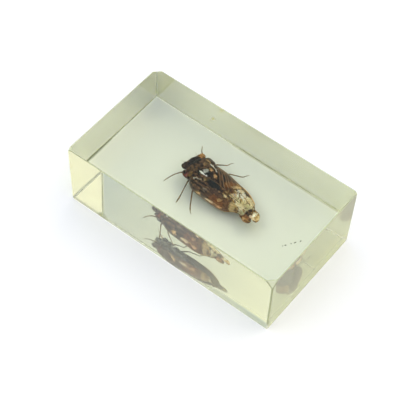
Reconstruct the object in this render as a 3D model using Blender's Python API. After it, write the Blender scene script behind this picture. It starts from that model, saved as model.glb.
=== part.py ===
"""A cicada cast in a clear resin block, a desk and display specimen.

The block is parted in two halves at a level plane, and the cicada lies in the pocket between
them. The origin is the middle of the block's underside, +X runs along its length and +Z up.
"""

import math

import bmesh
import bpy
from mathutils import Matrix, Vector

MM = 0.001

# The block: a cast rectangle with a slight draft, the tips of its top worn off, each by its
# own amount, and softened edges.
BLOCK_LENGTH = 73.0 * MM
BLOCK_WIDTH = 40.2 * MM
BLOCK_HEIGHT = 23.7 * MM
DRAFT_INSET = 0.3 * MM
EDGE_ROUND = 0.45 * MM
EDGE_STEPS = 3
TIP_WEAR_BACK_RIGHT = 0.9 * MM
TIP_WEAR_BACK_LEFT = 2.1 * MM
TIP_WEAR_FRONT_LEFT = 1.1 * MM
TIP_WEAR_FRONT_RIGHT = 2.3 * MM

# The parting plane and the free space between neighbours.
PARTING_HEIGHT = 8.0 * MM
GAP = 0.3 * MM
POCKET_CLEARANCE = 0.5 * MM

# Where the cicada lies: its own frame starts at the front of the thorax, over the underside of
# the block, with u from head to tail, v to its right side and w up.
CICADA_X = -7.93 * MM
CICADA_Y = 3.72 * MM
CICADA_TURN = math.radians(-16.5)

BODY_SIDES = 16
LEG_SIDES = 6
LUMP_SIDES = 14
LUMP_RINGS = 8
SHARP_ANGLE = math.radians(40)
LEG_RADIUS_HIP = 0.36 * MM
LEG_RADIUS_FOOT = 0.15 * MM
WING_THICKNESS = 0.5 * MM
WING_CHORD_STEPS = 6

# Body stations in mm: u, half width, underside w, top w.
BODY = (
    (-1.3, 2.5, 6.8, 10.8),
    (-0.7, 3.6, 6.0, 11.6),
    (0.3, 4.5, 5.5, 12.2),
    (1.6, 4.7, 5.2, 12.7),
    (2.8, 4.2, 5.0, 13.1),
    (4.6, 4.1, 4.8, 13.3),
    (6.6, 3.7, 4.8, 12.9),
    (8.4, 3.1, 4.9, 11.5),
    (11.2, 2.6, 5.0, 10.4),
    (14.0, 1.9, 5.3, 9.4),
    (16.6, 0.9, 6.1, 8.4),
)
# Behind the thorax the body's middle line bends to the right: mm aside for each mm squared.
THORAX_END_U = 6.0
TAIL_BEND = 0.0075

# Lumps in mm: centre u, v, w and radii. Eyes, collar lobes and the front hips come in pairs.
HEAD_CENTRE, HEAD_RADII = (-1.4, 0.0, 9.1), (1.7, 3.2, 1.8)
FACE_CENTRE, FACE_RADII = (-1.7, 0.0, 7.4), (1.3, 1.4, 1.9)
EYE_CENTRE, EYE_RADII = (-1.7, 2.95, 9.2), (1.1, 1.1, 1.05)
COLLAR_CENTRE, COLLAR_RADII = (0.6, 3.8, 7.9), (1.8, 1.4, 1.1)
HIP_CENTRE, HIP_RADII = (-0.1, 2.5, 6.0), (1.3, 1.1, 1.5)

# Wing stations in mm: u, inner edge v and w, outer edge v and w, bulge of the membrane.
LEFT_WING = (
    (2.4, -2.4, 12.1, -4.5, 6.9, 0.7),
    (5.2, -1.4, 13.0, -5.2, 5.3, 1.5),
    (9.9, 0.4, 12.2, -4.0, 4.5, 1.8),
    (14.2, 1.2, 11.1, -2.7, 4.1, 1.4),
    (16.3, 1.7, 10.4, -1.5, 4.1, 0.9),
    (17.8, 2.1, 9.8, 0.1, 4.5, 0.5),
    (19.6, 2.5, 9.0, 0.9, 5.3, 0.3),
    (21.2, 2.8, 8.4, 0.2, 6.6, 0.2),
    (22.7, 2.6, 7.8, 0.0, 6.6, 0.1),
    (23.8, 2.0, 7.3, 0.4, 6.7, 0.1),
    (24.3, 1.6, 7.1, 0.9, 6.8, 0.0),
)
RIGHT_WING = (
    (2.6, 2.2, 12.1, 4.7, 7.7, 0.5),
    (6.5, 0.9, 13.0, 6.1, 7.0, 1.0),
    (11.1, -0.1, 12.3, 6.7, 6.4, 1.3),
    (15.8, 0.4, 11.0, 7.1, 6.4, 1.0),
    (19.9, 1.2, 9.4, 6.1, 7.0, 0.6),
    (21.6, 1.6, 8.5, 5.0, 7.4, 0.3),
    (23.4, 2.1, 7.7, 5.1, 7.4, 0.2),
    (24.7, 2.2, 7.4, 4.4, 7.3, 0.1),
    (25.4, 2.6, 7.2, 3.5, 7.2, 0.0),
)
STATION_STEPS = 3

# Leg routes in mm, from hip to claw: u, v, w.
LEGS = {
    "front_left": ((-0.2, -2.5, 6.4), (-1.6, -4.7, 6.2), (-2.2, -7.1, 5.8), (-2.1, -10.4, 5.5)),
    "middle_left": ((1.6, -2.4, 6.6), (1.8, -4.6, 5.0), (4.5, -9.3, 2.8), (5.2, -11.1, 1.9)),
    "hind_left": ((4.8, -2.2, 6.4), (5.2, -5.3, 4.7), (9.7, -9.2, 4.0), (11.7, -10.2, 4.2)),
    "front_right": ((-0.4, 2.5, 6.6), (-3.1, 4.2, 6.8), (-4.6, 5.0, 6.2), (-6.2, 6.4, 5.8)),
    "middle_right": ((1.4, 2.4, 6.6), (2.0, 5.6, 6.1), (4.0, 8.2, 6.0), (4.1, 10.6, 5.4)),
    "hind_right": ((5.2, 2.2, 6.4), (6.7, 7.1, 5.3), (9.6, 9.6, 5.0), (10.0, 11.9, 4.6)),
}

RESIN_COLOUR, RESIN_ALPHA, RESIN_ROUGHNESS = (0.78, 0.82, 0.62), 0.35, 0.05
CICADA_COLOUR, CICADA_ALPHA, CICADA_ROUGHNESS = (0.09, 0.045, 0.022), 1.0, 0.35


def clear_scene():
    for old in list(bpy.data.objects):
        bpy.data.objects.remove(old, do_unlink=True)


def material(name, colour, alpha, roughness):
    """A plain finish with the piece's own colour."""
    finish = bpy.data.materials.new(name)
    finish.use_nodes = True
    shader = finish.node_tree.nodes["Principled BSDF"]
    shader.inputs["Base Color"].default_value = (*colour, 1.0)
    shader.inputs["Roughness"].default_value = roughness
    shader.inputs["Metallic"].default_value = 0.0
    shader.inputs["Alpha"].default_value = alpha
    return finish


def loft(rings):
    """A closed mesh through rings of equally many points, each ring a list of vectors."""
    mesh = bmesh.new()
    rows = [[mesh.verts.new(point) for point in ring] for ring in rings]
    count = len(rows[0])
    for low, high in zip(rows, rows[1:]):
        for i in range(count):
            j = (i + 1) % count
            mesh.faces.new((low[i], low[j], high[j], high[i]))
    mesh.faces.new(rows[0])
    mesh.faces.new(rows[-1])
    bmesh.ops.recalc_face_normals(mesh, faces=mesh.faces)
    return mesh


def add_object(name, mesh, finish=None):
    """An object from a mesh under construction, shaded smooth but for its sharp edges."""
    data = bpy.data.meshes.new(name)
    mesh.to_mesh(data)
    mesh.free()
    data.shade_smooth()
    data.set_sharp_from_angle(angle=SHARP_ANGLE)
    if finish:
        data.materials.append(finish)
    thing = bpy.data.objects.new(name, data)
    bpy.context.scene.collection.objects.link(thing)
    return thing


def use_as_tool(thing):
    """A shape that only cuts or joins, not a piece of its own."""
    thing.hide_render = True
    thing.display_type = "WIRE"
    return thing


def boolean(target, tool, operation):
    step = target.modifiers.new(tool.name, "BOOLEAN")
    step.operation = operation
    step.solver = "EXACT"
    step.object = tool


# ---------------------------------------------------------------- the block


def corner(side_x, side_y, height, inset=0.0):
    """A corner of the block; each side is 1 or -1."""
    return Vector((side_x * (BLOCK_LENGTH / 2 - inset), side_y * (BLOCK_WIDTH / 2 - inset), height))


def wear_tip(mesh, side_x, side_y, wear):
    tip = corner(side_x, side_y, BLOCK_HEIGHT)
    tip_vert = min(mesh.verts, key=lambda vert: (vert.co - tip).length)
    bmesh.ops.bevel(
        mesh, geom=[tip_vert], offset=wear, offset_type="OFFSET", segments=1, affect="VERTICES"
    )


def whole_block():
    """The block before it is parted: drafted box, worn tips, softened edges."""
    mesh = bmesh.new()
    bmesh.ops.create_cube(mesh, size=1.0)
    for vert in mesh.verts:
        side_x, side_y = math.copysign(1, vert.co.x), math.copysign(1, vert.co.y)
        if vert.co.z > 0:
            vert.co = corner(side_x, side_y, BLOCK_HEIGHT)
        else:
            vert.co = corner(side_x, side_y, 0.0, DRAFT_INSET)
    wear_tip(mesh, 1, 1, TIP_WEAR_BACK_RIGHT)
    wear_tip(mesh, -1, 1, TIP_WEAR_BACK_LEFT)
    wear_tip(mesh, -1, -1, TIP_WEAR_FRONT_LEFT)
    wear_tip(mesh, 1, -1, TIP_WEAR_FRONT_RIGHT)
    bmesh.ops.bevel(
        mesh,
        geom=list(mesh.edges),
        offset=EDGE_ROUND,
        offset_type="OFFSET",
        segments=EDGE_STEPS,
        profile=0.5,
        affect="EDGES",
        clamp_overlap=True,
    )
    return mesh


def block_half(name, cut_height, keep_over, finish):
    """The part of the block over or under a level plane, closed again where it was cut."""
    mesh = whole_block()
    made = bmesh.ops.bisect_plane(
        mesh,
        geom=[*mesh.verts, *mesh.edges, *mesh.faces],
        plane_co=(0, 0, cut_height),
        plane_no=(0, 0, 1),
        clear_inner=keep_over,
        clear_outer=not keep_over,
    )
    rim = [item for item in made["geom_cut"] if isinstance(item, bmesh.types.BMEdge)]
    bmesh.ops.contextual_create(mesh, geom=rim)
    bmesh.ops.recalc_face_normals(mesh, faces=mesh.faces)
    return add_object(name, mesh, finish)


def build_block_halves(finish):
    lower = block_half("resin_lower_half", PARTING_HEIGHT - GAP / 2, False, finish)
    upper = block_half("resin_upper_half", PARTING_HEIGHT + GAP / 2, True, finish)
    return lower, upper


# ---------------------------------------------------------------- the cicada


def smooth_rows(rows):
    """More stations between the given ones, on a smooth curve through them all."""
    finer = []
    last = len(rows) - 1
    for number in range(last):
        before, start, end, after = (rows[min(max(number + k, 0), last)] for k in (-1, 0, 1, 2))
        for step in range(STATION_STEPS):
            t = step / STATION_STEPS
            row = []
            for p0, p1, p2, p3 in zip(before, start, end, after):
                bend = (2 * p0 - 5 * p1 + 4 * p2 - p3) * t * t + (3 * p1 - p0 - 3 * p2 + p3) * t**3
                row.append(p1 + ((p2 - p0) * t + bend) / 2)
            finer.append(row)
    return finer + [list(rows[last])]


def place(u, v, w):
    """A point of the cicada's own frame, in mm, as a place in the block."""
    turn = Matrix.Rotation(CICADA_TURN, 3, "Z")
    point = turn @ Vector((u * MM, v * MM, w * MM))
    return point + Vector((CICADA_X, CICADA_Y, 0.0))


def middle_line(u):
    """How far the body's middle lies to the cicada's right at u mm: nothing at the thorax."""
    return TAIL_BEND * max(u - THORAX_END_U, 0.0) ** 2


def body_rings(grow):
    """Oval rings from the front of the thorax to the tail; the first and last close in."""
    rings = []
    stations = smooth_rows(BODY)
    last = len(stations) - 1
    for number, (u, half_width, under, top) in enumerate(stations):
        shift = -grow if number == 0 else grow if number == last else 0.0
        middle_w = (under + top) / 2
        half_height = (top - under) / 2 + grow
        ring = []
        for side in range(BODY_SIDES):
            angle = 2 * math.pi * side / BODY_SIDES
            v = middle_line(u) + (half_width + grow) * math.cos(angle)
            w = middle_w + half_height * math.sin(angle)
            ring.append(place(u + shift, v, w))
        rings.append(ring)
    return rings


def wing_rings(wing, grow):
    """Rings of a bowed membrane: over its outside from inner to outer edge, and back under."""
    half_thickness = WING_THICKNESS / MM / 2 + grow
    rings = []
    stations = smooth_rows(wing)
    last = len(stations) - 1
    for number, (u, inner_v, inner_w, outer_v, outer_w, bulge) in enumerate(stations):
        shift = -grow if number == 0 else grow if number == last else 0.0
        chord = Vector((outer_v - inner_v, outer_w - inner_w)).normalized()
        outward = Vector((-chord.y, chord.x))
        if outward.y < 0:
            outward.negate()
        over, under = [], []
        for step in range(WING_CHORD_STEPS + 1):
            share = step / WING_CHORD_STEPS
            middle = Vector((inner_v, inner_w)).lerp(Vector((outer_v, outer_w)), share)
            middle += outward * bulge * 4 * share * (1 - share)
            if step == 0:
                middle -= chord * grow
            if step == WING_CHORD_STEPS:
                middle += chord * grow
            for row, side in ((over, 1), (under, -1)):
                point = middle + outward * half_thickness * side
                row.append(place(u + shift, point.x, point.y))
        rings.append(over + under[::-1])
    return rings


def lump_solid(name, centre, radii, grow):
    """An oval lump of the cicada, such as its head or an eye."""
    mesh = bmesh.new()
    bmesh.ops.create_uvsphere(mesh, u_segments=LUMP_SIDES, v_segments=LUMP_RINGS, radius=1.0)
    size = Matrix.Diagonal([(radius + grow) * MM for radius in radii] + [1.0])
    turn = Matrix.Rotation(CICADA_TURN, 4, "Z")
    seat = Matrix.Translation(place(*centre))
    bmesh.ops.transform(mesh, matrix=seat @ turn @ size, verts=mesh.verts)
    return add_object(name, mesh)


def leg_solid(name, route, grow):
    """A jointed tube along a leg, thinner towards the claw."""
    points = [place(*point) for point in route]
    rings = []
    last = len(points) - 1
    for number, point in enumerate(points):
        ahead = points[min(number + 1, last)] - points[max(number - 1, 0)]
        along = ahead.normalized()
        across = along.cross(Vector((0, 0, 1))).normalized()
        upward = across.cross(along)
        radius = LEG_RADIUS_HIP + (LEG_RADIUS_FOOT - LEG_RADIUS_HIP) * number / last + grow * MM
        end = -1 if number == 0 else 1 if number == last else 0
        centre = point + along * end * grow * MM
        ring = []
        for side in range(LEG_SIDES):
            angle = 2 * math.pi * side / LEG_SIDES
            ring.append(centre + (across * math.cos(angle) + upward * math.sin(angle)) * radius)
        rings.append(ring)
    return add_object(name, loft(rings))


def torso_and_wing_solids(prefix, grow):
    """The cicada's forms but its legs, each grown outwards by the same clearance in mm."""
    yield add_object(prefix + "_body", loft(body_rings(grow)))
    yield lump_solid(prefix + "_head", HEAD_CENTRE, HEAD_RADII, grow)
    yield lump_solid(prefix + "_face", FACE_CENTRE, FACE_RADII, grow)
    pairs = (
        ("eye", EYE_CENTRE, EYE_RADII),
        ("collar", COLLAR_CENTRE, COLLAR_RADII),
        ("hip", HIP_CENTRE, HIP_RADII),
    )
    for what, (u, v, w), radii in pairs:
        for side, where in ((-1, "left"), (1, "right")):
            yield lump_solid(f"{prefix}_{what}_{where}", (u, side * v, w), radii, grow)
    yield add_object(prefix + "_wing_left", loft(wing_rings(LEFT_WING, grow)))
    yield add_object(prefix + "_wing_right", loft(wing_rings(RIGHT_WING, grow)))


def leg_solids(prefix, grow):
    for where, route in LEGS.items():
        yield leg_solid(f"{prefix}_leg_{where}", route, grow)


def fuse(whole, others):
    for other in others:
        boolean(whole, use_as_tool(other), "UNION")
    return whole


def build_cicada(finish):
    """One closed solid out of the overlapping forms."""
    cicada, *others = torso_and_wing_solids("cicada_form", 0.0)
    cicada.name = "cicada"
    cicada.data.materials.append(finish)
    fuse(cicada, [*others, *leg_solids("cicada_form", 0.0)])


def build_pocket():
    """The hollow that holds the cicada: a tight hull round torso and wings, and its legs."""
    grow = POCKET_CLEARANCE / MM
    cloud = bmesh.new()
    for form in list(torso_and_wing_solids("pocket_form", grow)):
        for vertex in form.data.vertices:
            cloud.verts.new(vertex.co)
        bpy.data.objects.remove(form, do_unlink=True)
    made = bmesh.ops.convex_hull(cloud, input=cloud.verts)
    bmesh.ops.delete(cloud, geom=made["geom_interior"], context="VERTS")
    pocket = use_as_tool(add_object("pocket", cloud))
    return fuse(pocket, leg_solids("pocket_form", grow))


def cut_pocket(lower, upper):
    pocket = build_pocket()
    for half in (lower, upper):
        boolean(half, pocket, "DIFFERENCE")


def main():
    clear_scene()
    resin = material("clear_resin", RESIN_COLOUR, RESIN_ALPHA, RESIN_ROUGHNESS)
    chitin = material("cicada_brown", CICADA_COLOUR, CICADA_ALPHA, CICADA_ROUGHNESS)
    lower, upper = build_block_halves(resin)
    build_cicada(chitin)
    cut_pocket(lower, upper)


main()
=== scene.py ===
# %% [markdown]
# # A cicada cast in a clear resin block
# The measured model gives the block in two halves and a plain cicada in the pocket between
# them. Here the block becomes one clear casting, and the cicada gets its segments, legs and
# veined, mottled wings. Every piece is made where the measured model says it is.

# %% Load the measured model
from math import atan2, cos, pi, radians, sin

import bmesh
import bpy
import numpy as np
from mathutils import Matrix, Vector


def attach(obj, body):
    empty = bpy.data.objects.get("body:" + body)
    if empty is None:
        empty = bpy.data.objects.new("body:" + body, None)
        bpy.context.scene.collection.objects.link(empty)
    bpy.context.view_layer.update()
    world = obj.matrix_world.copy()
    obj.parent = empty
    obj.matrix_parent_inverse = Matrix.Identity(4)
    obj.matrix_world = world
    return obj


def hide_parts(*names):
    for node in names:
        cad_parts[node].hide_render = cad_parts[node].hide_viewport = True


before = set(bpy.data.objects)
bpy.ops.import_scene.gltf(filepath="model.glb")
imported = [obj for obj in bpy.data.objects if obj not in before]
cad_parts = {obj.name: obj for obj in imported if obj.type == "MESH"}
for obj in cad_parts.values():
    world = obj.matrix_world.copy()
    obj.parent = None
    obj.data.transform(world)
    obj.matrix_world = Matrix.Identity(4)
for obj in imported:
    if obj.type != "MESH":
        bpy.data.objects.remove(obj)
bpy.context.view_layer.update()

# %% [markdown]
# ## Three habits for modelling with operators
# An operator works on whatever is selected, so a new piece begins with nothing else selected,
# and parts of a mesh are picked in code by where they lie. One helper gives a finished piece
# its smooth shading, its finish and its place among the measured parts.

# %% Selecting and finishing
MM = 0.001


def only(*things):
    """Selects these objects and nothing else; the first is the active one."""
    bpy.ops.object.select_all(action="DESELECT")
    for thing in things:
        thing.select_set(True)
    bpy.context.view_layer.objects.active = things[0]


def begin(add, **settings):
    """A new primitive by itself, from the operator that adds it."""
    bpy.ops.object.select_all(action="DESELECT")
    add(**settings)
    return bpy.context.object


def settle():
    """Puts the place, turn and scale of what is selected into its mesh."""
    bpy.ops.object.transform_apply(location=True, rotation=True, scale=True)


def edit(thing):
    """Opens a mesh for editing, with every vertex selected."""
    only(thing)
    bpy.ops.object.mode_set(mode="EDIT")
    bpy.ops.mesh.select_mode(type="VERT")
    bpy.ops.mesh.select_all(action="SELECT")


def pick(kind, test):
    """Selects the verts, edges or faces of the open mesh that pass a test on their place."""
    bpy.ops.mesh.select_all(action="DESELECT")
    mesh = bmesh.from_edit_mesh(bpy.context.object.data)
    chosen = [item for item in getattr(mesh, kind) if test(item)]
    for item in chosen:
        item.select_set(True)
    bmesh.update_edit_mesh(bpy.context.object.data)
    return len(chosen)


def done():
    """Closes the open mesh."""
    bpy.ops.object.mode_set(mode="OBJECT")
    return bpy.context.object


def face_outwards(thing):
    edit(thing)
    bpy.ops.mesh.normals_make_consistent(inside=False)
    return done()


def fit(thing, kind, **settings):
    """Adds a modifier with its settings and applies it."""
    only(thing)
    bpy.ops.object.modifier_add(type=kind)
    step = thing.modifiers[-1]
    for name, value in settings.items():
        setattr(step, name, value)
    bpy.ops.object.modifier_apply(modifier=step.name)


def join(name, pieces):
    only(*pieces)
    if len(pieces) > 1:
        bpy.ops.object.join()
    thing = bpy.context.object
    thing.name = thing.data.name = name
    return thing


def place_in_frame(piece, replaced, finish, angle=60):
    """Gives a finished piece its shading, its finish and its place in the measured model."""
    only(piece)
    settle()
    if angle:
        bpy.ops.object.shade_smooth_by_angle(angle=radians(angle))
    piece.data.materials.clear()
    piece.data.materials.append(finish)
    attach(piece, "root")
    if replaced:
        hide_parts(*replaced)
    print(piece.name, len(piece.data.polygons), "faces")


# %% [markdown]
# ## Shader sums as plain Python
# A finish is a tree of nodes. Wire wraps one socket, so that a sum such as 1 - mask lays the
# Math node by itself, and Nodes.add makes any other node from its type, its settings and its
# values. What comes up again and again has a short method of its own.

# %% Wires, nodes and finishes


class Wire:
    """A value on its way between shader nodes."""

    def __init__(self, tree, socket):
        self.tree, self.socket = tree, socket

    def maths(self, operation, first, second):
        return self.tree.add("ShaderNodeMath", {"operation": operation}, [first, second])

    def __add__(self, other):
        return self.maths("ADD", self, other)

    def __sub__(self, other):
        return self.maths("SUBTRACT", self, other)

    def __rsub__(self, other):
        return self.maths("SUBTRACT", other, self)

    def __mul__(self, other):
        return self.maths("MULTIPLY", self, other)

    def __truediv__(self, other):
        return self.maths("DIVIDE", self, other)

    __radd__ = __add__
    __rmul__ = __mul__


class Nodes:
    """A node tree, with short ways to add to it."""

    def __init__(self, tree):
        self.nodes, self.links = tree.nodes, tree.links

    def feed(self, node, values):
        """Sets or links sockets; an underscore in a name stands for a space."""
        pairs = values.items() if isinstance(values, dict) else enumerate(values)
        for key, value in pairs:
            socket = node.inputs[key.replace("_", " ") if isinstance(key, str) else key]
            if isinstance(value, Wire):
                self.links.new(value.socket, socket)
            else:
                socket.default_value = value

    def add(self, kind, settings=None, values=(), out=0):
        node = self.nodes.new(kind)
        for name, value in (settings or {}).items():
            setattr(node, name, value)
        self.feed(node, values)
        return Wire(self, node.outputs[out])

    def vector(self, operation, values, out=0):
        """A sum with vectors; where its result is a number, that is output 1."""
        return self.add("ShaderNodeVectorMath", {"operation": operation}, values, out)

    def parts(self, vector):
        """The x, y and z of a vector."""
        split = self.add("ShaderNodeSeparateXYZ", {}, [vector]).socket.node
        return [Wire(self, socket) for socket in split.outputs]

    def within(self, where, size, turn=0.0, centre=(0, 0, 0)):
        """The place seen from a centre along turned axes, with size as the unit of each."""
        values = [where, centre, (0, 0, turn), size]
        return self.add("ShaderNodeMapping", {"vector_type": "TEXTURE"}, values)

    def blend(self, mask, low, high):
        """low where the mask is 0 and high where it is 1; both are colours."""
        low, high = (c if isinstance(c, Wire) else (*c, 1.0) for c in (low, high))
        settings = {"data_type": "RGBA"}
        return self.add("ShaderNodeMix", settings, {0: mask, 6: low, 7: high}, out=2)

    def span(self, value, start, end, low=0.0, high=1.0):
        """low at start, high at end, with a soft change between."""
        settings = {"interpolation_type": "SMOOTHSTEP"}
        return self.add("ShaderNodeMapRange", settings, [value, start, end, low, high])

    def grain(self, where, scale, detail=2.0, roughness=0.5, out=0):
        """Cloudy variation from 0 to 1, with scale spots to the unit; in colour from out 1."""
        values = {"Vector": where, "Scale": scale, "Detail": detail, "Roughness": roughness}
        return self.add("ShaderNodeTexNoise", {}, values, out)

    def bump(self, height, strength, distance):
        values = {"Height": height, "Strength": strength, "Distance": distance}
        return self.add("ShaderNodeBump", {}, values)

    def brightness(self, colour):
        return self.vector("DOT_PRODUCT", [colour, (0.3, 0.5, 0.2)], out=1)


class Finish(Nodes):
    """A material under construction, with its Principled shader."""

    def __init__(self, name, **sockets):
        self.material = bpy.data.materials.new(name)
        self.material.use_nodes = True
        super().__init__(self.material.node_tree)
        self.shade(**sockets)

    def shade(self, **sockets):
        """Sets or links the shader's sockets, by name."""
        self.feed(self.nodes["Principled BSDF"], sockets)


# %% [markdown]
# ## The block
# The real block is poured into a mould that widens a little upwards, then ground and polished
# by hand: a box with a slight draft. The four tips of the top are worn off, each by its own
# amount. One bevel rounds every edge, and its weights keep most of them sharper than the four
# that were ground the most: the far two along the underside, and the upright ones at the far
# left and the near right.

# %% Model the block
BLOCK_LENGTH, BLOCK_WIDTH, BLOCK_HEIGHT = 73.0 * MM, 40.2 * MM, 23.7 * MM
DRAFT_INSET = 0.3 * MM
EDGE_ROUND, WIDE_ROUND = 0.3 * MM, 0.5 * MM
TIP_WEAR = {(1, 1): 0.9 * MM, (-1, 1): 2.1 * MM, (-1, -1): 1.1 * MM, (1, -1): 2.3 * MM}
BELOW_TOP = 0.8 * BLOCK_HEIGHT

sides = (BLOCK_LENGTH, BLOCK_WIDTH, BLOCK_HEIGHT)
middle = (0, 0, BLOCK_HEIGHT / 2)
box = begin(bpy.ops.mesh.primitive_cube_add, size=1, location=middle, scale=sides)
block = join("resin_block", [box])
settle()
edit(block)
pick("verts", lambda vert: vert.co.z < BLOCK_HEIGHT / 2)
draft = (1 - 2 * DRAFT_INSET / BLOCK_LENGTH, 1 - 2 * DRAFT_INSET / BLOCK_WIDTH, 1)
bpy.ops.transform.resize(value=draft, center_override=(0, 0, 0))
for (side_x, side_y), wear in TIP_WEAR.items():
    tip = Vector((side_x * BLOCK_LENGTH / 2, side_y * BLOCK_WIDTH / 2, BLOCK_HEIGHT))
    pick("verts", lambda vert: (vert.co - tip).length < 1 * MM)
    bpy.ops.mesh.bevel(offset=wear, segments=1, affect="VERTICES")
bpy.ops.mesh.select_mode(type="EDGE")
bpy.ops.mesh.select_all(action="SELECT")
bpy.ops.transform.edge_bevelweight(value=EDGE_ROUND / WIDE_ROUND)


def is_ground_more(edge):
    """By the measure far_off, far edges lie at 0.5 and 1, the near upright one at -1."""
    middle = (edge.verts[0].co + edge.verts[1].co) / 2
    far_off = middle.y / BLOCK_WIDTH - middle.x / BLOCK_LENGTH
    return middle.z < BELOW_TOP and not -0.75 < far_off < 0.25


print(pick("edges", is_ground_more), "edges rounded wider")
bpy.ops.transform.edge_bevelweight(value=1.0)
done()
fit(block, "BEVEL", limit_method="WEIGHT", width=WIDE_ROUND, segments=5)
only(block)
bpy.ops.object.shade_smooth()
fit(block, "WEIGHTED_NORMAL", weight=100, keep_sharp=False)
print("block", [round(side / MM, 2) for side in block.dimensions], "mm")

# %% [markdown]
# ## The resin
# Clear polyester with age in it: light passes straight through, bends at the faces, and turns
# yellow-green with depth. The top and the underside are polished clear. The upright sides are
# only finely ground, so a thin haze lies over them, thicker low down and towards the near
# end, and yellower on the two far sides. The foot of the front was ground once more.
#
# Rounded edges and worn tips are coarser: dull lines and spots. The far upright edge and the
# low ones near its foot are only frosted, and light passes them scattered, as soft pale
# lines. The left foot is stained. Each region is a mask from 0 to 1 for a haze and a tone.

# %% Mix the resin
RESIN_INDEX = 1.56
RESIN_TINT, RESIN_DEPTH = (0.53, 0.6, 0.29), 16.5
NEAR_HAZE, LOW_HAZE, END_HAZE, FAR_HAZE = 0.11, 0.09, 0.2, 0.24
NEAR_TONE, END_TONE, FAR_TONE = (0.85, 0.84, 0.68), (1.0, 0.98, 0.6), (0.85, 0.79, 0.2)
BAND_HEIGHT, BAND_FADE = 3.5 * MM, 0.3 * MM
BAND_HAZE, BAND_TONE = 0.25, (0.48, 0.54, 0.44)
BACK_CORNER = (-BLOCK_LENGTH / 2, BLOCK_WIDTH / 2, 0)
BACK_REACH, BACK_FADE = 24 * MM, 12 * MM
BACK_FROST, BACK_TONE = 0.5, (1.0, 1.0, 0.75)
LEFT_FOOT_TONE = (0.46, 0.48, 0.38)


def eased(mask, low, high):
    """low where the mask is 0 and high where it is 1; both are numbers."""
    return low + mask * (high - low)


resin = Finish("clear resin", Base_Color=(1, 1, 1, 1), IOR=RESIN_INDEX,
               Specular_Tint=(0.4, 0.4, 0.4, 1), Transmission_Weight=1.0)
normal = resin.vector("ABSOLUTE", [resin.add("ShaderNodeNewGeometry", out=3)])
frontness, steepness = resin.parts(normal)[1:]
where = resin.add("ShaderNodeTexCoord", out=3)
along, across, height = resin.parts(where)

on_sides = resin.span(steepness, 0.8, 0.3)
far_off = across / BLOCK_WIDTH - along / BLOCK_LENGTH
on_far_sides = resin.span(far_off, -0.01, 0.01)
on_front = resin.span(frontness, 0.7, 0.9) * (1.0 - on_far_sides)
near_end = resin.span(along, 0.1 * BLOCK_LENGTH, 0.42 * BLOCK_LENGTH)
low_down = resin.span(height, 0.55 * BLOCK_HEIGHT, 0.1 * BLOCK_HEIGHT)
in_band = resin.span(height, BAND_HEIGHT + BAND_FADE, BAND_HEIGHT - BAND_FADE)
in_band = in_band * near_end * on_front

squares = resin.vector("MULTIPLY", [normal, normal])
squareness = resin.vector("LENGTH", [squares], out=1)  # 1 on a face, less on a slant
on_edges = resin.span(squareness, 0.99, 0.95)
on_tips = resin.span(squareness, 0.66, 0.6)
far_upright = on_far_sides * resin.span(steepness, 0.4, 0.2)
low_edge = resin.span(height, 0.15 * BLOCK_HEIGHT, 0.05 * BLOCK_HEIGHT)
left_foot = resin.span(along, -0.47 * BLOCK_LENGTH, -0.49 * BLOCK_LENGTH) * low_edge
left_foot = left_foot * resin.span(across, 0.1 * BLOCK_WIDTH, -0.2 * BLOCK_WIDTH)
reach = resin.vector("DISTANCE", [where, BACK_CORNER], out=1)
near_corner = resin.span(reach, BACK_REACH + BACK_FADE, BACK_REACH)
near_corner = near_corner * low_edge * (1.0 - left_foot)

side_haze = eased(near_end, NEAR_HAZE, END_HAZE) + low_down * LOW_HAZE + in_band * BAND_HAZE
side_haze = eased(on_far_sides, side_haze, FAR_HAZE)
side_tone = resin.blend(near_end, NEAR_TONE, END_TONE)
side_tone = resin.blend(in_band, side_tone, BAND_TONE)
side_tone = resin.blend(on_far_sides, side_tone, FAR_TONE)
edge_haze, edge_tone = 0.6, (0.5, 0.53, 0.3)  # of the top edges
for mask, mask_haze, mask_tone in (
    (low_edge, 0.65, (0.95, 0.95, 0.8)),
    (far_upright, 0.4, BACK_TONE),
    (near_corner, 0.15, BACK_TONE),
    (on_tips, 0.85, (0.7, 0.73, 0.5)),
):
    edge_haze = eased(mask, edge_haze, mask_haze)
    edge_tone = resin.blend(mask, edge_tone, mask_tone)
edge_tone = resin.blend(left_foot, edge_tone, LEFT_FOOT_TONE)
haze = on_sides * (1.0 - on_edges) * side_haze + on_edges * edge_haze
haze_tone = resin.blend(on_edges, side_tone, edge_tone)
frosted = far_upright.maths("MAXIMUM", far_upright, near_corner)

resin.shade(Roughness=on_edges * frosted * BACK_FROST)
clear = Wire(resin, resin.nodes["Principled BSDF"].outputs[0])
values = {"Base Color": haze_tone, "Roughness": 0.6}
scratches = resin.add("ShaderNodeBsdfPrincipled", {}, values)
skin = resin.add("ShaderNodeMixShader", {}, [haze, clear, scratches])
values = {"Color": (*RESIN_TINT, 1), "Density": RESIN_DEPTH}
depth_tint = resin.add("ShaderNodeVolumeAbsorption", {}, values)
resin.feed(resin.nodes["Material Output"], {"Surface": skin, "Volume": depth_tint})
place_in_frame(
    block, ["resin_upper_half", "resin_lower_half"], resin.material, angle=0
)

# %% [markdown]
# ## A bench for the cicada
# The cicada lies askew in the block and is only three centimetres long. It is easier to model
# on a bench of its own, one unit to the millimetre, head towards -X and its right side
# towards +Y, and to set each finished piece into the block by one shrink, turn and move.

# %% The bench and its tools
BENCH_PLACE = Vector((-7.93 * MM, 3.72 * MM, 0.0))
BENCH_TURN = radians(-16.5)
TO_BLOCK = (
    Matrix.Translation(BENCH_PLACE)
    @ Matrix.Rotation(BENCH_TURN, 4, "Z")
    @ Matrix.Scale(MM, 4)
)


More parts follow.
